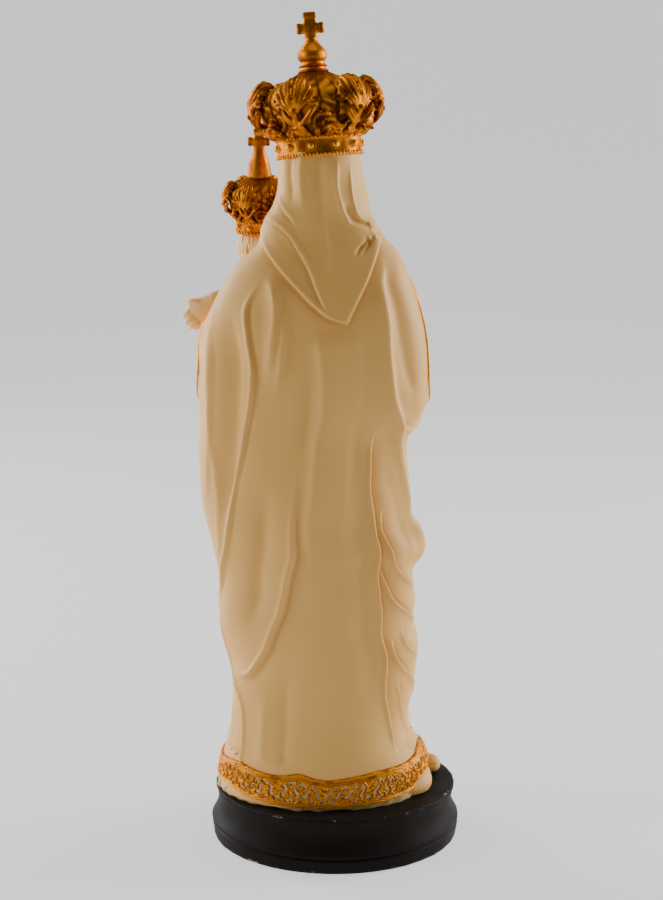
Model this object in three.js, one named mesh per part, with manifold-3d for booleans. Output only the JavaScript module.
// A crowned madonna with a crowned child on her left arm, cast in resin and painted ivory and gold.
// The castings are pinned and glued together on a turned black plinth that a screw holds from below.
// Millimetres, +Z up. She faces -Y, her left is +X, and the origin is the centre of the underside.
import * as THREE from "three";
import { mergeVertices } from "three/addons/utils/BufferGeometryUtils.js";
import Module from "manifold-3d";

const wasm = await Module();
wasm.setup();

// Driving dimensions
const GAP = 0.3; // glue gap between two castings
const PLINTH_HEIGHT = 20;
const PLINTH_TOP_RADIUS = 44.5;
const PLINTH_FOOT_RADIUS = 46.5;
const FELT_RADIUS = 40;
const FELT_THICKNESS = 1.2;
const ROBE_FOOT = PLINTH_HEIGHT + GAP;
const ROBE_TOP = 228;
const HEAD_FOOT = 214;
const CROWN_SEAT = new THREE.Vector3(5.4, 0.5, 250.6); // centre of the crown's lower rim
const CROWN_LEAN = THREE.MathUtils.degToRad(4.4); // towards her left
const CROWN_PITCH = THREE.MathUtils.degToRad(3); // towards her face
const CROWN_HEIGHT = 30; // from the lower rim to the collar under the cross
const CHILD_HEAD = new THREE.Vector3(27.5, -24.3, 216);
const CHILD_HEAD_RADIUS = 8.3;
const CHILD_CROWN_SEAT = new THREE.Vector3(27.4, -22.8, 222.4);
const CHILD_CROWN_PITCH = THREE.MathUtils.degToRad(-9); // it sits back on his head
const CHILD_CROWN_HEIGHT = 20.7;
const PIN_RADIUS = 1.5;
const SCREW_RADIUS = 2;

// Fineness of the lofted castings: steps around and steps up
const ROBE_STEPS = [54, 34];
const HEAD_STEPS = [30, 12];
const CROWN_STEPS = [36, 12];
const LIMB_SIDES = 9;
const FINGER_SIDES = 6;

// ---------------------------------------------------------------- curves and forms

// A smooth function through [position, value] points, level beyond the first and the last.
function through(points) {
  const slope = points.map((p, i) => {
    const a = points[Math.max(i - 1, 0)];
    const b = points[Math.min(i + 1, points.length - 1)];
    return (b[1] - a[1]) / (b[0] - a[0]);
  });
  return (x) => {
    if (x <= points[0][0]) return points[0][1];
    if (x >= points.at(-1)[0]) return points.at(-1)[1];
    const i = points.findIndex((p) => p[0] > x) - 1;
    const h = points[i + 1][0] - points[i][0];
    const t = (x - points[i][0]) / h;
    const hermite =
      points[i][1] * (1 + 2 * t) * (1 - t) ** 2 + slope[i] * h * t * (1 - t) ** 2 +
      points[i + 1][1] * t * t * (3 - 2 * t) + slope[i + 1] * h * t * t * (t - 1);
    return hermite;
  };
}

// How strongly a turn angle lies near a centre angle, from 0 to 1.
function near(turn, centre, width) {
  const away = Math.atan2(Math.sin(turn - centre), Math.cos(turn - centre));
  return Math.exp(-((away / width) ** 2));
}

// A closed body through rings of points that run anticlockwise seen from the far end of the stack.
function loft(rings) {
  const count = rings[0].length;
  const points = rings.flat();
  const index = [];
  for (let r = 0; r + 1 < rings.length; r += 1) {
    for (let i = 0; i < count; i += 1) {
      const a = r * count + i;
      const b = r * count + ((i + 1) % count);
      index.push(a, b, b + count, a, b + count, a + count);
    }
  }
  for (const [ring, flip] of [[0, true], [rings.length - 1, false]]) {
    const centre = new THREE.Vector3();
    for (const p of rings[ring]) centre.addScaledVector(p, 1 / count);
    points.push(centre);
    for (let i = 0; i < count; i += 1) {
      const a = ring * count + i;
      const b = ring * count + ((i + 1) % count);
      index.push(points.length - 1, flip ? b : a, flip ? a : b);
    }
  }
  const made = new THREE.BufferGeometry().setFromPoints(points);
  made.setIndex(index);
  return made;
}

// Rings of a body of revolution-like shape: place(turn, height) gives each point.
function stack(place, from, to, [around, up]) {
  const rings = [];
  for (let r = 0; r <= up; r += 1) {
    const z = THREE.MathUtils.lerp(from, to, r / up);
    const ring = [];
    for (let i = 0; i < around; i += 1) ring.push(place((-2 * Math.PI * i) / around, z));
    rings.push(ring);
  }
  return loft(rings);
}

// A limb through [x, y, z, radius] stations, with rounded ends. grow swells it on every side.
function limb(stations, grow = 0, sides = LIMB_SIDES) {
  const path = new THREE.CatmullRomCurve3(stations.map((s) => new THREE.Vector3(...s)));
  const radius = through(stations.map((s, i) => [i / (stations.length - 1), s[3]]));
  const steps = 2 * (stations.length - 1);
  const frames = path.computeFrenetFrames(steps, false);
  const rings = [];
  for (let k = 0; k <= steps; k += 1) {
    const u = k / steps;
    const round = Math.min(1, 0.45 + 0.55 * Math.sqrt(Math.min(u, 1 - u) * 6));
    const reach = radius(u) * round + grow;
    const centre = path.getPoint(u);
    if (k === 0) centre.addScaledVector(frames.tangents[k], -grow);
    if (k === steps) centre.addScaledVector(frames.tangents[k], grow);
    const ring = [];
    for (let i = 0; i < sides; i += 1) {
      const a = (2 * Math.PI * i) / sides;
      ring.push(
        centre.clone()
          .addScaledVector(frames.normals[k], reach * Math.cos(a))
          .addScaledVector(frames.binormals[k], reach * Math.sin(a)),
      );
    }
    rings.push(ring);
  }
  return loft(rings);
}

// ---------------------------------------------------------------- joining and cutting

function solid(geometry) {
  const bare = geometry.clone();
  for (const name of ["normal", "uv"]) bare.deleteAttribute(name);
  const merged = mergeVertices(bare, 1e-4);
  return new wasm.Manifold(
    new wasm.Mesh({
      numProp: 3,
      vertProperties: merged.attributes.position.array,
      triVerts: new Uint32Array(merged.index.array),
    }),
  );
}

const TOLERANCE = 0.04; // triangles finer than this are merged away after cutting

function geometryOf(made) {
  const mesh = made.simplify(TOLERANCE).getMesh();
  const geometry = new THREE.BufferGeometry();
  geometry.setAttribute("position", new THREE.BufferAttribute(mesh.vertProperties, 3));
  geometry.setIndex(new THREE.BufferAttribute(mesh.triVerts, 1));
  geometry.computeVertexNormals();
  return geometry;
}

// An upright pin, or the hole for one, from one height to another.
function pin(x, y, from, to, radius, sides = 20) {
  const made = new THREE.CylinderGeometry(radius, radius, to - from, sides);
  return made.rotateX(Math.PI / 2).translate(x, y, (from + to) / 2);
}

function ellipsoid(centre, radii, segments = 20) {
  const made = new THREE.SphereGeometry(1, segments, Math.round(segments * 0.6));
  return made.rotateX(Math.PI / 2).scale(...radii).translate(...centre);
}

const union = (geometries) => geometries.map(solid).reduce((a, b) => a.add(b));

// ---------------------------------------------------------------- robe

// Her left and right outlines seen square from behind, and her back and front outlines from the side.
const robeLeft = through([
  [20, 43.6], [31, 42], [42, 39.6], [60, 38.3], [74, 41], [84, 43.3], [98, 42.6], [112, 45.4],
  [128, 49], [165, 49], [188, 48.4], [198, 43.5], [206, 38.8], [214, 33.5], [221, 25], [228, 14],
]);
const robeRight = through([
  [20, -33], [26, -35.5], [34, -32], [42, -28], [62, -29.6], [73, -30.4], [84, -29], [97, -29.2],
  [110, -33.2], [120, -29.6], [145, -27.2], [152, -26], [159, -32], [175, -33.9], [192, -32],
  [207, -27.2], [217, -22.5], [223, -15], [228, -5],
]);
const robeBack = through([
  [20, 36], [30, 33], [48, 29], [75, 27], [110, 26], [150, 26], [180, 27], [200, 25], [213, 21], [222, 16], [228, 8],
]);
const robeFront = through([
  [20, -37], [32, -33], [60, -28], [100, -25], [140, -24], [165, -21], [188, -21], [202, -16], [215, -11], [228, -4],
]);

// How far the cloak stands out over each bent forearm, with its fall below.
const leftArmFall = through([[30, 0], [50, 0.15], [100, 0.6], [155, 1], [166, 0.4], [176, 0]]);
const rightArmFall = through([[50, 0], [90, 0.35], [150, 0.9], [158, 1], [168, 0.35], [178, 0]]);
const foldDepth = through([[20, 0.6], [40, 1.4], [80, 1.1], [150, 0.6], [200, 0.3], [228, 0]]);

// A point of the robe. turn is 0 at her back and grows towards her left.
function robePoint(turn, z, grow = 0) {
  const halfWidth = (robeLeft(z) - robeRight(z)) / 2;
  const halfDepth = (robeBack(z) - robeFront(z)) / 2;
  const s = Math.sin(turn);
  const c = Math.cos(turn);
  const out = new THREE.Vector3(s / halfWidth, c / halfDepth, 0).normalize();
  const arms = 15 * near(turn, 2.35, 0.5) * leftArmFall(z) + 13 * near(turn, -2.25, 0.42) * rightArmFall(z);
  const folds = foldDepth(z) * Math.cos(9 * turn + 0.02 * z);
  return new THREE.Vector3(
    (robeLeft(z) + robeRight(z)) / 2 + halfWidth * s,
    (robeBack(z) + robeFront(z)) / 2 + halfDepth * c - arms,
    z,
  ).addScaledVector(out, folds + grow);
}

const robeForm = (grow = 0) =>
  solid(stack((t, z) => robePoint(t, z, grow), ROBE_FOOT, ROBE_TOP + Math.min(grow, 1), ROBE_STEPS));

// ---------------------------------------------------------------- head and veil

const veilLeft = through([[214, 19], [221, 24.5], [226, 27.4], [229, 25.8], [233, 22.9], [239, 20.8], [251, 20]]);
const veilRight = through([[214, -11], [221, -15.6], [226, -15], [232, -12.4], [240, -10.7], [251, -9]]);
const veilBack = through([[214, 17], [226, 18.5], [236, 17], [246, 16], [251, 15.5]]);
const veilFront = through([[214, -9], [224, -10], [229, -12.5], [236, -14.4], [243, -14.6], [251, -13.6]]);

function veilPoint(turn, z, grow = 0) {
  const halfWidth = (veilLeft(z) - veilRight(z)) / 2 + grow;
  const halfDepth = (veilBack(z) - veilFront(z)) / 2 + grow;
  return new THREE.Vector3(
    (veilLeft(z) + veilRight(z)) / 2 + halfWidth * Math.sin(turn),
    (veilBack(z) + veilFront(z)) / 2 + halfDepth * Math.cos(turn),
    z,
  );
}

// The pointed fall of the hood over her back, seen square from behind.
const HOOD_OUTLINE = [
  [27, 229], [20.5, 212], [12.5, 203], [4, 195], [-4.3, 190.6], [-9, 202], [-14.5, 220], [-14.5, 229],
];
const HOOD_THICKNESS = 1.6;

function hoodFall() {
  const outline = new THREE.Shape(HOOD_OUTLINE.map(([x, z]) => new THREE.Vector2(x, z)));
  const prism = new THREE.ExtrudeGeometry(outline, { depth: 60, bevelEnabled: false });
  prism.rotateX(Math.PI / 2).translate(0, 62, 0);
  return robeForm(HOOD_THICKNESS).intersect(solid(prism)).subtract(robeForm(GAP));
}

// What leans with the crown: its seat on the head is cut square to it.
function crownPlace(geometry) {
  return geometry
    .clone()
    .rotateX(CROWN_PITCH)
    .rotateY(CROWN_LEAN)
    .translate(CROWN_SEAT.x, CROWN_SEAT.y, CROWN_SEAT.z);
}

const CROWN_SOCKET = { radius: 12.2, depth: 6 };
const HEAD_PIN = { from: 200, to: 238, x: 5, y: 2 };

function headForm(grow = 0) {
  return solid(stack((t, z) => veilPoint(t, z, grow), HEAD_FOOT - grow, 256, HEAD_STEPS));
}

const FACE = { centre: [5.6, -8.6, 236.5], radii: [7.9, 7.4, 11.5] };

// The face, nose and throat.
function features(grow = 0) {
  const [x, y, z] = FACE.centre;
  const swollen = (...radii) => radii.map((r) => r + grow);
  return union([
    ellipsoid(FACE.centre, swollen(...FACE.radii)),
    ellipsoid([x, y - 7.2, z - 1], swollen(1.2, 1.4, 3.2), 10),
    ellipsoid([x, y + 1, z - 14], swollen(5, 5, 9), 14),
  ]);
}

// The veil is hollowed in front of the face and the throat.
function veilHollow() {
  const [x, y, z] = FACE.centre;
  return union([ellipsoid([x, y - 6.4, z - 1], [9.6, 7.5, 13.5]), ellipsoid([x, y - 5, z - 14], [7, 6, 8])]);
}

function headCasting() {
  const above = crownPlace(new THREE.BoxGeometry(80, 80, 40).translate(0, 0, 20 - GAP));
  const plug = crownPlace(pin(0, 0, -6, CROWN_SOCKET.depth - 0.6, CROWN_SOCKET.radius, 28));
  const crownPinHole = crownPlace(pin(0, 0, -5, 20, PIN_RADIUS + GAP));
  const neckHole = pin(HEAD_PIN.x, HEAD_PIN.y, 200, HEAD_PIN.to + GAP, PIN_RADIUS + GAP);
  return headForm()
    .subtract(veilHollow())
    .add(features())
    .subtract(solid(above))
    .add(solid(plug))
    .add(hoodFall())
    .subtract(solid(crownPinHole))
    .subtract(solid(neckHole));
}

// ---------------------------------------------------------------- crowns

// Height and radius shares of a closed crown: band, swelling arches, and the dip below the collar.
const CROWN_PROFILE = [
  [0, 0.645], [0.07, 0.65], [0.24, 0.65], [0.27, 0.62], [0.42, 0.82], [0.55, 0.965], [0.66, 1],
  [0.78, 0.95], [0.86, 0.76], [0.93, 0.4], [1, 0.22],
];
const LEAVES = 6;
const LEAF_TURN = THREE.MathUtils.degToRad(14); // the nearest leaf lies this far to her left of the back

function crownForm(radius, height) {
  const share = through(CROWN_PROFILE);
  const lobes = through([[0, 0], [0.3, 0], [0.5, 0.05], [0.75, 0.07], [0.9, 0.02], [1, 0]]);
  const place = (turn, h) => {
    const ripple = Math.cos(LEAVES * (turn - LEAF_TURN)) - 1;
    const r = radius * (share(h) + lobes(h) * ripple);
    return new THREE.Vector3(r * Math.sin(turn), r * Math.cos(turn), h * height);
  };
  return stack(place, 0, 1, CROWN_STEPS);
}

function crownCasting(radius, height, socket, place) {
  const hole = pin(0, 0, -1, socket.depth, socket.radius + GAP, 28);
  const pinHole = pin(0, 0, 0, height * 0.55, PIN_RADIUS + GAP);
  return solid(place(crownForm(radius, height))).subtract(solid(place(hole))).subtract(solid(place(pinHole)));
}

// A collar, an onion-shaped orb and a cross with slightly flared arms.
const ORB_PROFILE = [
  [0, 0], [0.42, 0], [0.46, 0.06], [0.4, 0.1], [0.5, 0.16], [0.53, 0.24], [0.46, 0.34], [0.27, 0.44], [0.2, 0.52],
  [0.2, 0.62], [0, 0.62],
];
const CROSS_OUTLINE = [
  [0.19, 0.5], [0.17, 0.66], [0.42, 0.64], [0.43, 0.8], [0.18, 0.79], [0.21, 1], [-0.21, 1], [-0.18, 0.79],
  [-0.43, 0.8], [-0.42, 0.64], [-0.17, 0.66], [-0.19, 0.5],
];

function crossForm(height, orbWidth, thickness, foot) {
  const profile = ORB_PROFILE.map(([r, h]) => new THREE.Vector2(r * orbWidth, h * height));
  const orb = new THREE.LatheGeometry(profile, 24).rotateX(Math.PI / 2);
  const outline = CROSS_OUTLINE.map(([x, h]) => new THREE.Vector2(x * orbWidth, h * height));
  const cross = new THREE.ExtrudeGeometry(new THREE.Shape(outline), { depth: thickness, bevelEnabled: false });
  cross.rotateX(Math.PI / 2).translate(0, thickness / 2, 0);
  return geometryOf(union([orb, cross])).translate(0, 0, foot + GAP);
}

// ---------------------------------------------------------------- her arms

// The bare forearm and hand that leave the right sleeve, palm up. side runs across the four fingers.
const RIGHT_FOREARM = [[-22.5, -22, 161, 3.4], [-20, -30, 165, 3], [-17.8, -35.5, 169, 3.3], [-16, -40, 171.5, 2.6]];
const RIGHT_THUMB = [[-20, -35, 170.5, 1.5], [-21.6, -38, 173, 1.3], [-21, -41, 174.6, 1]];

function rightHand(grow = 0) {
  const fingers = [-2.4, -0.8, 0.8, 2.4].map((side) =>
    limb([
      [-16 + side, -38.5, 171.3, 1.2], [-15.5 + side, -43, 173.2, 1.1], [-15.2 + side, -46.5, 173.4, 0.9],
    ], grow, FINGER_SIDES),
  );
  return union([limb(RIGHT_FOREARM, grow), ...fingers, limb(RIGHT_THUMB, grow, FINGER_SIDES)]);
}

// The sleeve end on the right forearm: the cloak's edge turned back around a deep opening.
const SLEEVE = [[-26.8, -13, 157.5, 6.5], [-24, -20.5, 160.5, 7.6], [-22.2, -27, 163, 8.2]];
const SLEEVE_MOUTH = [[-23.4, -22.5, 161.4, 3.2], [-22, -26, 162.9, 6.4], [-20.5, -31, 165, 8]];

const rightSleeve = (grow = 0) => solid(limb(SLEEVE, grow, 16));

// Her left hand: the fingers come round the child's side.
const LEFT_PALM = [[33, -28, 158, 3.2], [28, -34.5, 160, 3.6], [23, -38.5, 161.5, 3]];

function leftHand(grow = 0) {
  const fingers = [0, 1, 2, 3].map((k) => {
    const z = 159.2 + 1.9 * k;
    return limb([
      [24.5 - k, -38.8, z, 1.2], [20 - k, -40.4, z + 1, 1.1], [16.5 - k, -39.6, z + 1.5, 0.9],
    ], grow, FINGER_SIDES);
  });
  return union([limb(LEFT_PALM, grow), ...fingers]);
}

// ---------------------------------------------------------------- child

const CHILD_TORSO = [
  [26, -21, 163, 9], [26.5, -21, 176, 9.5], [27, -21.5, 190, 7.8], [27.2, -22.5, 200, 6.4],
  [27.4, -23.5, 206, 4], [27.5, -23.8, 212, 3.6],
];
// Where each leg leaves the hip, and how far it spreads sideways by the foot.
const CHILD_LEGS = [{ hip: 30.5, spread: 5 }, { hip: 21.5, spread: -1 }];

function childForm(grow = 0) {
  const radii = [CHILD_HEAD_RADIUS + grow, CHILD_HEAD_RADIUS + grow, CHILD_HEAD_RADIUS * 1.12 + grow];
  const legs = CHILD_LEGS.map(({ hip, spread }) =>
    limb([
      [hip, -24, 168, 5.5],
      [hip + spread * 0.3, -33, 169, 5],
      [hip + spread * 0.6, -38, 163, 4],
      [hip + spread * 0.8, -39, 153, 3],
      [hip + spread, -42.5, 148, 2.4],
    ], grow),
  );
  return union([limb(CHILD_TORSO, grow, 16), ellipsoid(CHILD_HEAD.toArray(), radii), ...legs]);
}

// One arm from the shoulder. The three fingers start at the hand and point along reach.
function childArm(stations, hand, reach, grow = 0) {
  const fingers = [-1.6, 0, 1.6].map((side) =>
    limb([
      [hand[0], hand[1] + side, hand[2], 1],
      [hand[0] + reach[0] / 2, hand[1] + side * 1.1 + reach[1] / 2, hand[2] + reach[2] / 2, 0.95],
      [hand[0] + reach[0], hand[1] + side * 1.2 + reach[1], hand[2] + reach[2], 0.8],
    ], grow, FINGER_SIDES),
  );
  return union([limb(stations, grow), ...fingers]);
}

const CHILD_LEFT_ARM = [
  [32, -22.3, 200.5, 3.6], [40, -23, 198.5, 3.6], [46.5, -22.5, 196.6, 2.9], [51.4, -22, 193.8, 3.4],
];
const CHILD_RIGHT_ARM = [
  [21.5, -24, 200.5, 3.5], [14.5, -29, 196.5, 3.2], [10, -34, 197.5, 2.6], [7.5, -37.5, 199.5, 2.6],
];
const childLeftArm = (grow = 0) => childArm(CHILD_LEFT_ARM, [50.2, -22, 195], [2.6, 0, -6.2], grow);
const childRightArm = (grow = 0) => childArm(CHILD_RIGHT_ARM, [8.4, -36.4, 198.6], [-2, -3, 4.6], grow);

// ---------------------------------------------------------------- plinth and fixings

function plinth() {
  const R = PLINTH_FOOT_RADIUS;
  const T = PLINTH_TOP_RADIUS;
  const profile = [
    [0, 0], [R - 0.6, 0], [R, 0.8], [R, 4.9], [R - 0.9, 5.5], [R - 0.5, 6.1], [R - 1.4, 8], [R - 2.7, 10.5],
    [T - 1.2, 13], [T - 1.2, 15.5], [T - 0.5, 17.6], [T, 18.9], [T - 0.3, 19.7],
    [T - 1, PLINTH_HEIGHT], [0, PLINTH_HEIGHT],
  ].map(([r, z]) => new THREE.Vector2(r, z));
  const body = new THREE.LatheGeometry(profile, 56).rotateX(Math.PI / 2);
  const felt = pin(0, 0, -1, FELT_THICKNESS + GAP, FELT_RADIUS + GAP, 48);
  const head = pin(0, 0, 0, SCREW_SEAT, 7 + GAP, 32);
  const shank = pin(0, 0, 0, PLINTH_HEIGHT + 1, SCREW_RADIUS + GAP);
  const cuts = [felt, head, shank, ...BASE_PINS.map(([x, y]) => pin(x, y, 12, 21, PIN_RADIUS + GAP))];
  return cuts.reduce((made, cut) => made.subtract(solid(cut)), solid(body));
}

const SCREW_SEAT = 8; // the head's pocket in the plinth ends here
const WASHER_THICKNESS = 1.2;
const BASE_PINS = [[22, 4], [-16, 4]];

function screw() {
  const top = SCREW_SEAT - WASHER_THICKNESS - 2 * GAP;
  const profile = [
    [0, top - 3], [3.6, top - 3], [4.4, top - 2], [4.2, top], [SCREW_RADIUS, top],
    [SCREW_RADIUS, 40], [0, 44],
  ].map(([r, z]) => new THREE.Vector2(r, z));
  const slot = new THREE.BoxGeometry(12, 1.2, 1.2).translate(0, 0, top - 3);
  return solid(new THREE.LatheGeometry(profile, 24).rotateX(Math.PI / 2)).subtract(solid(slot));
}

function washer() {
  const ring = solid(pin(0, 0, SCREW_SEAT - GAP - WASHER_THICKNESS, SCREW_SEAT - GAP, 6.4, 32));
  return ring.subtract(solid(pin(0, 0, 0, 20, SCREW_RADIUS + GAP)));
}

// ---------------------------------------------------------------- materials and assembly

const material = (color, roughness, metalness = 0) =>
  new THREE.MeshStandardMaterial({ color, roughness, metalness });
const IVORY = material(0xd2b48c, 0.5);
const GOLD = material(0xb4762a, 0.35, 0.6);
const BLACK = material(0x201d1d, 0.45);
const FELT = material(0x1c3a26, 0.95);
const STEEL = material(0x9a9ca0, 0.3, 1);

const statue = new THREE.Group();

function add(name, made, finish) {
  const mesh = new THREE.Mesh(made.getMesh ? geometryOf(made) : made, finish);
  mesh.name = name;
  statue.add(mesh);
  return mesh;
}

function childCrownPlace(geometry) {
  return geometry
    .clone()
    .rotateX(CHILD_CROWN_PITCH)
    .translate(CHILD_CROWN_SEAT.x, CHILD_CROWN_SEAT.y, CHILD_CROWN_SEAT.z);
}

const CROWN_RADIUS = 23.4;
const CHILD_CROWN_RADIUS = 13.4;
const CHILD_SOCKET = { radius: 7.4, depth: 3.6 };
const CHILD_PIN = { x: 26, y: -20, from: 148, to: 172 };

const cutAll = (made, cuts) => cuts.reduce((left, cut) => left.subtract(cut), made);

function robeCasting() {
  return cutAll(robeForm(), [
    headForm(GAP),
    features(GAP),
    childForm(GAP),
    leftHand(GAP),
    rightSleeve(GAP),
    solid(pin(0, 0, 20, 44 + GAP, SCREW_RADIUS + GAP)),
    solid(pin(HEAD_PIN.x, HEAD_PIN.y, HEAD_PIN.from - GAP, 230, PIN_RADIUS + GAP)),
    solid(pin(CHILD_PIN.x, CHILD_PIN.y, CHILD_PIN.from - GAP, 175, PIN_RADIUS + GAP)),
    ...BASE_PINS.map(([x, y]) => solid(pin(x, y, 20, 28, PIN_RADIUS + GAP))),
  ]);
}

function childBody() {
  return cutAll(childForm(), [
    childLeftArm(GAP),
    childRightArm(GAP),
    leftHand(GAP),
    solid(pin(CHILD_PIN.x, CHILD_PIN.y, 150, CHILD_PIN.to + GAP, PIN_RADIUS + GAP)),
    solid(childCrownPlace(pin(0, 0, 0, 20, 40, 32))),
  ]);
}

add("plinth", plinth(), BLACK);
add("felt_pad", pin(0, 0, 0, FELT_THICKNESS, FELT_RADIUS, 48), FELT);
add("plinth_screw", screw(), STEEL);
add("screw_washer", washer(), STEEL);
BASE_PINS.forEach(([x, y], i) =>
  add(`base_pin_${i + 1}`, pin(x, y, 12 + GAP, 28 - GAP, PIN_RADIUS), STEEL),
);
add("robe_casting", robeCasting(), IVORY);
add("head_casting", headCasting(), IVORY);
add("neck_pin", pin(HEAD_PIN.x, HEAD_PIN.y, HEAD_PIN.from, HEAD_PIN.to, PIN_RADIUS), STEEL);
add("crown", crownCasting(CROWN_RADIUS, CROWN_HEIGHT, CROWN_SOCKET, crownPlace), GOLD);
add("crown_pin", crownPlace(pin(0, 0, -5 + GAP, 16, PIN_RADIUS)), STEEL);
add("crown_cross", crownPlace(crossForm(19, 10, 3, CROWN_HEIGHT)), GOLD);
add("right_sleeve", rightSleeve().subtract(solid(limb(SLEEVE_MOUTH, 0, 14))).subtract(rightHand(GAP)), IVORY);
add("right_hand", rightHand(), IVORY);
add("left_hand", leftHand(), IVORY);
add("child_body", childBody(), IVORY);
add("child_pin", pin(CHILD_PIN.x, CHILD_PIN.y, CHILD_PIN.from, CHILD_PIN.to, PIN_RADIUS), STEEL);
add("child_left_arm", childLeftArm(), IVORY);
add("child_right_arm", childRightArm(), IVORY);
add("child_crown", crownCasting(CHILD_CROWN_RADIUS, CHILD_CROWN_HEIGHT, CHILD_SOCKET, childCrownPlace), GOLD);
add("child_crown_cross", childCrownPlace(crossForm(17, 8.4, 2.4, CHILD_CROWN_HEIGHT)), GOLD);

export default statue;
